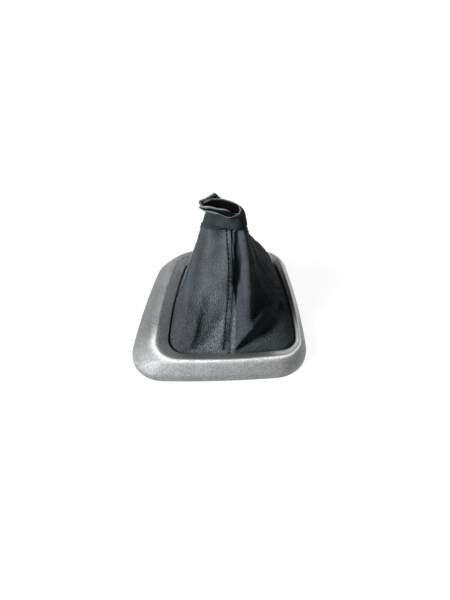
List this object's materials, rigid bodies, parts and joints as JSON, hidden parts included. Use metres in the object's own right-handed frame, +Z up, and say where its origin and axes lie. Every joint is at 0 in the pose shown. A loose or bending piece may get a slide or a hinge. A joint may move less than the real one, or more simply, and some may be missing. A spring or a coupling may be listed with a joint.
{
  "type": "gear lever gaiter",
  "caption": "Sewn leatherette gear lever gaiter with a folded collar at its top, clamped in a silver moulded surround.",
  "frame": {"origin": "on the floor under the middle of the surround's box", "axes": "+Z up through the collar, the front edge of the surround faces -Y, +X to the right"},
  "size_m": [0.1498, 0.1584, 0.1208],
  "materials": {
    "silver_paint": "satin silver paint on moulded plastic",
    "black_plastic": "moulded, fine texture",
    "screw_steel": "zinc plated",
    "leatherette": "pebble grain, satin"
  },
  "bodies": {
    "root": {"bezel_frame": "silver_paint", "retaining_frame": "black_plastic", "frame_screw_1": "screw_steel", "frame_screw_2": "screw_steel", "frame_screw_3": "screw_steel", "frame_screw_4": "screw_steel", "front_right_panel": "leatherette", "rear_right_panel": "leatherette", "rear_left_panel": "leatherette", "front_left_panel": "leatherette", "collar_band": "leatherette"}
  },
  "joints": []
}
